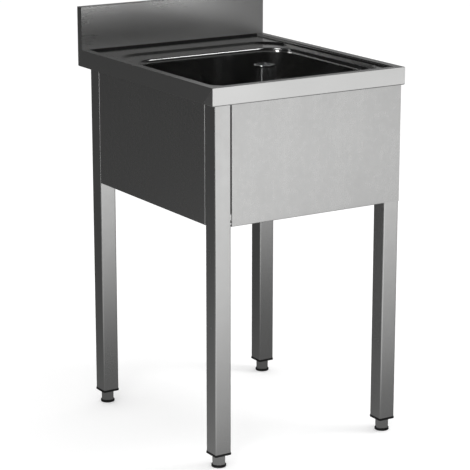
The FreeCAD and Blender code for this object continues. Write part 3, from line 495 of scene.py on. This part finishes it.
# %% Choosing
def choose(piece, what, test):
    """Selects the vertices, edges or polygons of a piece that pass a test of their place."""
    bpy.ops.object.mode_set(mode="EDIT")
    kind = {"vertices": "VERT", "edges": "EDGE", "polygons": "FACE"}[what]
    bpy.ops.mesh.select_mode(type=kind)
    bpy.ops.mesh.select_all(action="DESELECT")
    bpy.ops.object.mode_set(mode="OBJECT")
    mesh = piece.data
    chosen = 0
    for item in getattr(mesh, what):
        if what == "vertices":
            good = test(item.co)
        elif what == "edges":
            good = test(mesh.vertices[item.vertices[0]].co, mesh.vertices[item.vertices[1]].co)
        else:
            good = test(item.center, item.normal)
        item.select = bool(good)
        chosen += bool(good)
    bpy.ops.object.mode_set(mode="EDIT")
    if not chosen:
        raise ValueError("nothing chosen on " + piece.name)


def choose_all(kind):
    """Selects the whole of the open piece as VERT, EDGE or FACE."""
    bpy.ops.mesh.select_mode(type=kind)
    bpy.ops.mesh.select_all(action="SELECT")


def near(a, b, slack=0.0003):
    return abs(a - b) < slack


def both(a, b, axis, value, slack=0.0003):
    """Whether both ends of an edge lie at a value along an axis."""
    return near(getattr(a, axis), value, slack) and near(getattr(b, axis), value, slack)


# %% [markdown]
# The next helpers are the moves themselves. `sweep` is the one that makes rolled edges and wide inner corners: it
# insets a face in small steps along an arc, which keeps the outline's offset true all the way round.


# %% Moves
def pull(way=(0, 0, 0)):
    """Extrudes what is chosen and moves the new part."""
    bpy.ops.mesh.extrude_region_move(TRANSFORM_OT_translate={"value": way})


def shift(way):
    bpy.ops.transform.translate(value=way)


def spread(x, y, z, about):
    bpy.ops.transform.resize(value=(x, y, z), center_override=about)


def bevel(radius, steps=3, corners=False):
    bpy.ops.mesh.bevel(
        offset=radius, segments=steps, profile=0.5, affect="VERTICES" if corners else "EDGES", clamp_overlap=True
    )


def sweep(radius, start, end, steps, over=True):
    """Insets the chosen face along an arc, over an edge or into a corner. Returns how far it went down."""
    turns = [radians(start + (end - start) * k / steps) for k in range(steps + 1)]
    down = 0.0
    for before, after in zip(turns, turns[1:]):
        if over:
            inward = radius * (sin(after) - sin(before))
            lower = radius * (cos(before) - cos(after))
        else:
            inward = radius * (cos(before) - cos(after))
            lower = radius * (sin(after) - sin(before))
        bpy.ops.mesh.inset(thickness=inward, depth=-lower)
        down += lower
    return down


# %% [markdown]
# The last helpers finish a piece. A sheet is first an open skin, so its faces are turned up before it gets its
# thickness, and weighted normals keep the large flat faces flat beside their small roundings.


# %% Finishing a piece
def activate(piece):
    """Makes a piece the one that the next move acts on."""
    rest()
    piece.select_set(True)
    bpy.context.view_layer.objects.active = piece


def carry_out(piece, kind, **settings):
    """Adds a modifier with its settings and applies it."""
    activate(piece)
    change = piece.modifiers.new("change", kind)
    for name, value in settings.items():
        setattr(change, name, value)
    bpy.ops.object.modifier_apply(modifier=change.name)


def join(piece, *others):
    """Makes one piece of several."""
    activate(piece)
    for item in others:
        item.select_set(True)
    bpy.ops.object.join()


def face_up(piece):
    """Merges the doubled corners of an open skin and turns its outer side up."""
    bpy.ops.object.mode_set(mode="EDIT")
    choose_all("FACE")
    bpy.ops.mesh.remove_doubles(threshold=0.00002)
    bpy.ops.mesh.normals_make_consistent(inside=False)
    rest()
    if sum(p.normal.z * p.area for p in piece.data.polygons) < 0:
        bpy.ops.object.mode_set(mode="EDIT")
        bpy.ops.mesh.flip_normals()


def hand_over(piece, body, finish, slot, *replaced, angle=32):
    """Smooths and paints a finished piece, and lets it stand for its CAD nodes."""
    activate(piece)
    bpy.ops.object.shade_smooth_by_angle(angle=radians(angle))
    carry_out(piece, "WEIGHTED_NORMAL", keep_sharp=True, weight=80)
    paint(piece, finish)
    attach(piece, body)
    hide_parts(*replaced)
    print(piece.name, len(piece.data.polygons), "faces on", body)


def paint_some(piece, finish, test):
    """Gives a further finish to the faces of a piece that pass a test of their place."""
    piece.data.materials.append(finish)
    for polygon in piece.data.polygons:
        if test(polygon.center, polygon.normal):
            polygon.material_index = len(piece.data.materials) - 1


# %% [markdown]
# ## The worktop
#
# The worktop is one folded sheet: a raised rim, a deck pressed a few millimetres lower, a lip turned down at the
# front and the sides, and an upstand at the back. It is made from a rectangle. An inset leaves the rim, two sweeps
# take the step from rim to deck over one curve and into another, and the outer edges are pulled down for the lip.
# There is no raised rim at the back, so there the step stands straight up, just in front of the upstand.

# %% Rim and deck
RIM = 0.850
DECK = 0.845
LIP_LOW = 0.810
UPSTAND_TOP = 0.950
HALF = 0.250
FRONT = -0.300
CREASE = 0.280
WALL = 0.300
RIM_FLAT = 0.0175
STEP_BACK = CREASE - 0.0005

worktop = flat("worktop_sheet", (-HALF, FRONT), (HALF, CREASE), RIM)
bpy.ops.mesh.inset(thickness=RIM_FLAT)
choose(worktop, "vertices", lambda v: near(v.y, CREASE - RIM_FLAT, 0.0025))
shift((0, STEP_BACK - CREASE + RIM_FLAT, 0))
choose(worktop, "polygons", lambda c, n: abs(c.x) < 0.01 and abs(c.y) < 0.05)
roll = (RIM - DECK) / (2 * (1 - cos(radians(80))))
sweep(roll, 0, 80, 4)
sweep(roll, 10, 90, 4, over=False)
bpy.ops.mesh.delete(type="ONLY_FACE")
rest()
below_rim = {round(v.co.z, 5) for v in worktop.data.vertices if DECK - 0.0001 < v.co.z < RIM - 0.0001}
for height in sorted(below_rim):
    back = max(v.co.y for v in worktop.data.vertices if near(v.co.z, height, 0.00002))
    choose(worktop, "vertices", lambda v: near(v.z, height, 0.00002) and v.y > 0.2)
    shift((0, STEP_BACK - back, 0))
print("step from rim to deck in", len(below_rim), "rows")

# %% Lip
choose(
    worktop, "edges",
    lambda a, b: both(a, b, "y", FRONT) or (near(abs(a.x), HALF) and near(a.x, b.x)),
)
pull((0, 0, LIP_LOW - RIM))
pull()
spread(0.96, 0.57 / 0.58, 1, (0, CREASE, 0))
choose(
    worktop, "edges",
    lambda a, b: both(a, b, "y", CREASE) and near(a.x, b.x, 0.02) and abs(a.x) > 0.2,
)
pull((0, WALL - CREASE, 0))
print("lip turned down", round(RIM - LIP_LOW, 3), "m")

# %% [markdown]
# The upstand is a hollow fold. The sheet goes up at the crease, back over the top and down to the level of the
# lip, so three pulls of one edge make it.

# %% Upstand
choose(worktop, "edges", lambda a, b: both(a, b, "y", CREASE) and both(a, b, "z", RIM) and a.x * b.x < 0)
pull((0, 0, UPSTAND_TOP - RIM))
pull((0, WALL - CREASE, 0))
pull((0, 0, LIP_LOW - UPSTAND_TOP))
print("upstand folded up", round(UPSTAND_TOP - RIM, 3), "m")

# %% [markdown]
# Round the bowl the deck is pressed down in a shallow step, so that water runs in. The step leaves a level margin
# at the bowl's edge, wide behind the bowl and narrow at its sides, and it draws the dark band behind the bowl. The
# opening is a rectangle with rounded corners, and its edge is pulled outwards and up ring by ring. A ring is given
# by its part of the way out and by its rise: nearly level first, then steep, then level again at the deck.

# %% Fall round the bowl
BOWL_SIDE = 0.208
BOWL_FRONT = -0.274
BOWL_BACK = 0.142
BOWL_EDGE = 0.8400
BOWL_CORNER = 0.068
ARC = 10
FALL_WIDER = 0.2262 / BOWL_SIDE - 1
FALL_DEEPER = 0.4800 / (BOWL_BACK - BOWL_FRONT) - 1
FALL_MIDDLE = (0, -0.2558, 0)
RINGS = ((0.40, 0.0002), (0.77, 0.0005), (0.80, 0.0008), (0.98, 0.0047), (1.0, 0.0050))


def bowl_outline(name):
    """A level face with the outline of the bowl's edge, chosen and open in edit mode."""
    piece = flat(name, (-BOWL_SIDE, BOWL_FRONT), (BOWL_SIDE, BOWL_BACK), BOWL_EDGE)
    choose_all("VERT")
    bevel(BOWL_CORNER, ARC, corners=True)
    choose_all("FACE")
    return piece


opening = bowl_outline("opening")
bpy.ops.mesh.delete(type="ONLY_FACE")
choose_all("EDGE")
width, depth, height = 1.0, 1.0, 0.0
for part, new_height in RINGS:
    new_width = 1 + FALL_WIDER * part
    new_depth = 1 + FALL_DEEPER * part
    pull((0, 0, new_height - height))
    spread(new_width / width, new_depth / depth, 1, FALL_MIDDLE)
    width, depth, height = new_width, new_depth, new_height

join(worktop, opening)
choose(worktop, "edges", lambda a, b: both(a, b, "z", DECK, 0.0001))
bpy.ops.mesh.bridge_edge_loops()
face_up(worktop)
print("deck bridged", len(worktop.data.polygons), "faces")

# %% [markdown]
# At each front corner the front lip's end is folded round the corner and welded to the side lip along a 45 degree
# mitre. The mitre is cut with a plane, and its line is widened and pressed in to make the seam.

# %% Mitres
MITRE = FRONT + RIM - 0.002
for side in (-1, 1):
    choose(worktop, "polygons", lambda c, n: near(c.x, side * HALF) and c.z < RIM and c.y < 0.27)
    bpy.ops.mesh.bisect(plane_co=(side * HALF, FRONT, RIM - 0.002), plane_no=(0, 1, 1))
    choose(
        worktop, "edges",
        lambda a, b: both(a, b, "x", side * HALF) and near(a.y + a.z, MITRE) and near(b.y + b.z, MITRE),
    )
    bevel(0.0009, 2)
    choose(
        worktop, "vertices",
        lambda v: near(v.x, side * HALF) and near(v.y + v.z, MITRE) and LIP_LOW + 0.001 < v.z,
    )
    shift((-side * 0.0004, 0, 0))
print("2 mitres cut")

# %% [markdown]
# A fold in sheet is never sharp. The lip's lower edge turns on a wider radius than the edges at the rim, the top of
# the upstand and the front corners. The sheet gets its thickness last, inwards, so that the outer sizes hold. Three
# small areas then get a finish of their own: the upstand, which is rougher and painted a lighter colour that stands
# in for the light it reflects; the strip at its foot, painted dark steel as the shade in the crease; and the mitre's
# corner, which was ground after welding.

# %% Roundings and sheet
choose(
    worktop, "edges",
    lambda a, b: both(a, b, "z", LIP_LOW)
    and (near(abs(a.x), HALF) and near(abs(b.x), HALF) or both(a, b, "y", FRONT)),
)
bevel(0.0028, 3)


def outside(v):
    """On the outline of the rim: at the front, at a side or at an end of the upstand's foot."""
    return near(abs(v.x), HALF) or near(v.y, FRONT)


choose(
    worktop, "edges",
    lambda a, b: (both(a, b, "z", RIM) and outside(a) and outside(b))
    or (both(a, b, "z", UPSTAND_TOP) and near(a.y, b.y) and a.x * b.x < 0)
    or (near(abs(a.x), HALF) and near(a.x, b.x) and both(a, b, "y", FRONT)),
)
bevel(0.0018, 3)
carry_out(worktop, "SOLIDIFY", thickness=0.0012, offset=-1, use_even_offset=True)
hand_over(worktop, "frame", worktop_steel, "stainless_sheet", "worktop")
# Painted light: the upstand's faces get the rougher finish with its lighter painted colour.
paint_some(worktop, upstand_steel, lambda c, n: c.z > RIM + 0.004)
# Painted shade: the upright strip in front of the crease at the upstand's foot is painted dark steel.
paint_some(
    worktop, joint_steel,
    lambda c, n: near(c.y, STEP_BACK) and DECK < c.z < RIM and abs(n.y) > 0.9 and abs(c.x) < 0.235,
)
paint_some(
    worktop, ground_weld,
    lambda c, n: c.x < -HALF + 0.001 and c.y + c.z < MITRE + 0.001 and c.z > LIP_LOW + 0.001,
)

# %% [markdown]
# ## The bowl
#
# The bowl is deep-drawn from one sheet, so every corner of it is round: the edge rolls over from the deck, the
# walls stand almost upright, and a wide radius leads into a floor that falls gently to the drain. Insetting one
# face again and again, each time a little further in and down, keeps all those offsets true. The floor is then
# bridged to a circle round the drain, and its seat is pressed in three small steps.

# %% Bowl
FLOOR = 0.5972
SEAT_EDGE = 0.5953
DRAIN = (0.100, 0.044)
FOOT_RADIUS = 0.030
STEEPEST = 88

bowl = bowl_outline("bowl_pressing")
fallen = sweep(0.010, 12, STEEPEST, 5)
wall = BOWL_EDGE - fallen - FLOOR - FOOT_RADIUS * sin(radians(STEEPEST))
for _ in range(3):
    bpy.ops.mesh.inset(thickness=0.0004, depth=-wall / 3)
sweep(FOOT_RADIUS, 0, STEEPEST, 7, over=False)
bpy.ops.mesh.delete(type="ONLY_FACE")
bpy.ops.mesh.primitive_circle_add(vertices=4 * (ARC + 1), radius=0.040, location=(*DRAIN, SEAT_EDGE))
choose(
    bowl, "edges",
    lambda a, b: both(a, b, "z", FLOOR, 0.0004) or both(a, b, "z", SEAT_EDGE, 0.0001),
)
bpy.ops.mesh.bridge_edge_loops(number_cuts=4, interpolation="LINEAR")
choose(bowl, "edges", lambda a, b: both(a, b, "z", SEAT_EDGE, 0.0001))
for grow, drop in ((0.975, 0.0006), (0.965, 0.0019), (0.62, 0.0006)):
    pull((0, 0, -drop))
    spread(grow, grow, 1, (*DRAIN, 0))
face_up(bowl)
carry_out(bowl, "SOLIDIFY", thickness=0.0010, offset=-1, use_even_offset=True)
# The bowl gets the steel whose colour is painted darker, as shade for its inside.
hand_over(bowl, "frame", bowl_steel, "drawn_steel", "bowl", angle=40)

# %% [markdown]
# ## The legs
#
# A leg is a length of square tube. Cold-rolled tube has rounded corners, and they draw the thin bright line down
# each leg. One leg is made over the middle of the floor, and a copy of it is set down at each corner.

# %% Legs
CORNERS = {
    "front_left": (-0.222, -0.276), "front_right": (0.222, -0.276),
    "back_left": (-0.222, 0.235), "back_right": (0.222, 0.235),
}
LEG_HALF = 0.020
LEG_LOW = 0.033
LEG_TOP = 0.8438


def set_down(model, name, place):
    """Copies a piece made over the middle of the floor to one corner of the sink."""
    activate(model)
    bpy.ops.object.duplicate()
    made = bpy.context.object
    made.name = name
    shift((*place, 0))
    bpy.ops.object.transform_apply(location=True, rotation=True, scale=True)
    return made


def discard(model):
    rest()
    model.select_set(True)
    bpy.ops.object.delete()


leg = block("leg_model", (-LEG_HALF, -LEG_HALF, LEG_LOW), (LEG_HALF, LEG_HALF, LEG_TOP))
choose(leg, "polygons", lambda c, n: abs(n.z) > 0.9)
bpy.ops.mesh.delete(type="FACE")
choose(leg, "edges", lambda a, b: near(a.x, b.x) and near(a.y, b.y))
bevel(0.003, 4)
carry_out(leg, "SOLIDIFY", thickness=0.0015, offset=-1)
for corner, place in CORNERS.items():
    tube = set_down(leg, "leg_tube_" + corner, place)
    hand_over(tube, "frame", leg_steel, "stainless_sheet", "leg_" + corner)
discard(leg)

# %% [markdown]
# ## The panels
#
# The panels below the lip are thin sheets with folded edges. A large thin sheet is never quite flat, and its slow
# dents make the gloss cloudy. Each is a divided grid whose inner points are moved a little at random and then
# smoothed, so that the dents are a few tenths of a millimetre deep and a hand wide.


# %% Panel moves
def skin(name, low, high, turn, columns, rows):
    """An upright divided sheet between two corners. Turn 0 faces the front, -90 the left and 90 the right."""
    rest()
    bpy.ops.mesh.primitive_grid_add(
        x_subdivisions=columns, y_subdivisions=rows, size=1, location=[(a + b) / 2 for a, b in zip(low, high)],
        rotation=(pi / 2, 0, radians(turn)),
    )
    return open_up(name, (high[0] - low[0] + high[1] - low[1], high[2] - low[2], 1))


def dent(piece, test, depth, seed):
    """Moves the chosen inner points at random along their normals, and smooths them."""
    choose(piece, "vertices", test)
    bpy.ops.transform.vertex_random(offset=depth, uniform=0, normal=1, seed=seed, wait_for_input=False)
    bpy.ops.mesh.vertices_smooth(factor=0.5, repeat=14)


def fold(panel, test, way):
    """Folds the chosen border of a panel back."""
    choose(panel, "edges", test)
    pull(way)


def fold_ends(panel, on_end, back, deep):
    """Folds a panel's upright end back: deep beside the leg, and shallow below, where the tab is."""
    for low, high, size in ((SHALLOW_TOP, DEEP_TOP, deep), (0, SHALLOW_TOP, 0.0035)):
        fold(panel, lambda a, b: on_end(a, b) and low < (a.z + b.z) / 2 < high, [k * size for k in back])


def thicken(panel):
    """Gives a folded sheet its small bend radius and its thickness."""
    bpy.ops.mesh.select_mode(type="EDGE")
    bpy.ops.mesh.select_all(action="DESELECT")
    bpy.ops.mesh.edges_select_sharp(sharpness=radians(50))
    bevel(0.0016, 3)
    carry_out(panel, "SOLIDIFY", thickness=0.0010, offset=-1, use_even_offset=True)


def tab(panel, low, high):
    """A small fixing tab, joined to its panel."""
    join(panel, block("tab", low, high))


# %% [markdown]
# The front panel has a seam beside the left leg and laps over the face of the right leg. Its lower edge and its
# left end are folded back, and a tab at each side takes the screw.

# %% Front panel
LOW = 0.545
TOP = 0.838
SHALLOW_TOP = 0.577
DEEP_TOP = 0.82
TAB_TOP = LOW + 0.016
TAB_FOOT = LOW + 0.001
LEFT_END = -0.2006
FACE = -0.297


def slow_part(v):
    """Away from the panel's lower and upper folds."""
    return LOW + 0.02 < v.z < TOP - 0.03


front = skin("front_panel", (LEFT_END, FACE, LOW), (0.242, FACE, TOP), 0, 33, 22)
dent(front, lambda v: -0.175 < v.x < 0.198 and slow_part(v), 0.0018, 4)
fold(front, lambda a, b: both(a, b, "z", LOW) and max(a.x, b.x) < 0.2025, (0, 0.015, 0))
fold_ends(front, lambda a, b: both(a, b, "x", LEFT_END) and both(a, b, "y", FACE), (0, 1, 0), 0.010)
thicken(front)
for left, right in ((-0.202, -0.201), (0.201, 0.202)):
    tab(front, (left, -0.292, LOW), (right, -0.284, TAB_TOP))
tab(front, (-0.202, -0.292, LOW), (-0.198, -0.284, TAB_FOOT))
hand_over(front, "frame", panel_steel, "stainless_sheet", "front_apron")

# %% [markdown]
# A side panel stands between its two legs, flush with their outer faces, and is folded back along its lower edge
# and at both ends. Left and right are the same panel, mirrored, with dents of their own.

# %% Side panels
SIDE_FRONT = -0.2537
SIDE_BACK = 0.2141
for side, name in ((-1, "left"), (1, "right")):
    face = side * 0.242
    panel = skin(name + "_panel", (face, SIDE_FRONT, LOW), (face, SIDE_BACK, TOP), side * 90, 35, 22)
    dent(panel, lambda v: -0.225 < v.y < 0.185 and slow_part(v), 0.0014, 7 + side)
    fold(panel, lambda a, b: both(a, b, "z", LOW), (-side * 0.015, 0, 0))
    fold_ends(
        panel,
        lambda a, b: both(a, b, "x", face) and (both(a, b, "y", SIDE_FRONT) or both(a, b, "y", SIDE_BACK)),
        (-side, 0, 0), 0.015,
    )
    thicken(panel)
    left, right = sorted((side * 0.237, side * 0.229))
    for y_low, y_high, z_high in (
        (-0.256, -0.255, TAB_TOP), (0.214, 0.215, TAB_TOP),
        (-0.256, -0.252, TAB_FOOT), (0.211, 0.215, TAB_FOOT),
    ):
        tab(panel, (left, y_low, LOW), (right, y_high, z_high))
    hand_over(panel, "frame", panel_steel, "stainless_sheet", name + "_apron")

# %% [markdown]
# ## The feet
#
# A foot is turned from hexagon bar: a chamfered hexagon for the spanner, a threaded stud that screws up into the
# leg, and a boss that turns in a rubber pad. The chamfers come from cutting the hexagon with a bevelled round
# bar, as the lathe does, and the thread is a small triangle screwed round the stud.

# %% Foot screw
HEX_LOW = 0.0051
HEX_TOP = 0.0277
HEX_RADIUS = 0.014 / cos(pi / 6)
STUD_TOP = 0.0737
STUD_RADIUS = 0.00425
PITCH = 0.0015

foot = drum("foot_model", (0, 0), HEX_LOW, HEX_TOP, HEX_RADIUS, 6)
bpy.ops.mesh.select_all(action="SELECT")
bpy.ops.transform.rotate(value=pi / 6, orient_axis="Z", center_override=(0, 0, 0))
turning = drum("turning", (0, 0), HEX_LOW, HEX_TOP, 0.0162, 72)
choose(turning, "edges", lambda a, b: near(a.z, b.z))
bevel(0.0019, 1)
carry_out(foot, "BOOLEAN", operation="INTERSECT", object=turning, solver="EXACT")
discard(turning)
stud = drum("stud", (0, 0), HEX_TOP - 0.0007, STUD_TOP, STUD_RADIUS, 32)
choose(stud, "edges", lambda a, b: both(a, b, "z", STUD_TOP))
bevel(0.0008, 2)
boss = drum("boss", (0, 0), 0.0021, 0.0060, 0.0070, 40)
rest()
bpy.ops.mesh.primitive_circle_add(
    vertices=3, radius=0.00055, location=(STUD_RADIUS + 0.00015, 0, 0.0288), rotation=(pi / 2, pi / 2, 0)
)
thread = bpy.context.object
bpy.ops.object.transform_apply(location=True, rotation=True, scale=True)
carry_out(
    thread, "SCREW", axis="Z", angle=2 * pi, screw_offset=PITCH, iterations=28, steps=20, render_steps=20,
    use_merge_vertices=True, merge_threshold=0.00001,
)
bpy.ops.object.mode_set(mode="EDIT")
bpy.ops.mesh.select_all(action="SELECT")
bpy.ops.mesh.fill_holes(sides=3)
bpy.ops.mesh.normals_make_consistent(inside=False)
join(foot, stud, boss, thread)
for corner, place in CORNERS.items():
    bolt = set_down(foot, "foot_bolt_" + corner, place)
    hand_over(bolt, "foot_screw_" + corner, turned_steel, "turned_steel", "foot_screw_" + corner, angle=25)
discard(foot)

# %% [markdown]
# The pad is a moulded rubber disc with a blind hole for the boss. A bevelled round slab with one inset, pushed down,
# is all that it needs. The foot turns in it, so the pad goes up and down with its foot but stays unturned.

# %% Foot pad
PAD_TALL = 0.005
PAD_RADIUS = 0.0165
PAD_ROUND = 0.0007
HOLE_RADIUS = 0.00705

pad = drum("pad_model", (0, 0), 0.0, PAD_TALL, PAD_RADIUS, 72)
choose(pad, "edges", lambda a, b: near(a.z, b.z))
bevel(PAD_ROUND, 3)
choose(pad, "polygons", lambda c, n: n.z > 0.9 and c.length < 0.006)
bpy.ops.mesh.inset(thickness=PAD_RADIUS - PAD_ROUND - HOLE_RADIUS)
bpy.ops.mesh.inset(thickness=0.00001, depth=-0.0028)
for corner, place in CORNERS.items():
    disc = set_down(pad, "foot_rubber_" + corner, place)
    hand_over(disc, "foot_pad_" + corner, rubber, "black_rubber", "foot_pad_" + corner, angle=40)
discard(pad)

# %% [markdown]
# ## The standpipe
#
# The standpipe is a thin chromed tube with a rolled ring at its mouth. Chrome shows every facet, so both are made
# with many sides, and the ring's edges are rounded before it is slipped over the tube.

# %% Standpipe
PIPE_LOW = 0.599
PIPE_TOP = 0.820
PIPE_RADIUS = 0.020
RING_RADIUS = 0.024
RING_TALL = 0.006


def from_axis(v):
    """How far a point is from the middle of the pipe."""
    return (Vector((v.x, v.y)) - Vector(DRAIN)).length


pipe = drum("standpipe_pipe", DRAIN, PIPE_LOW, PIPE_TOP, PIPE_RADIUS, 128, "NOTHING")
carry_out(pipe, "SOLIDIFY", thickness=0.0015, offset=-1)
hand_over(pipe, "standpipe", turned_chrome, "chrome_brass", "standpipe_tube")

mouth = drum("standpipe_mouth", DRAIN, PIPE_TOP - RING_TALL, PIPE_TOP, RING_RADIUS, 128)
choose(mouth, "polygons", lambda c, n: abs(n.z) > 0.9)
bpy.ops.mesh.inset(thickness=0.0038)
choose(mouth, "polygons", lambda c, n: abs(n.z) > 0.9 and from_axis(c) < 0.005)
bpy.ops.mesh.bridge_edge_loops()
choose(mouth, "edges", lambda a, b: near(a.z, b.z) and min(from_axis(a), from_axis(b)) > 0.0235)
bevel(0.0016, 4)
hand_over(mouth, "standpipe", chrome, "chrome_brass", "standpipe_ring", angle=50)
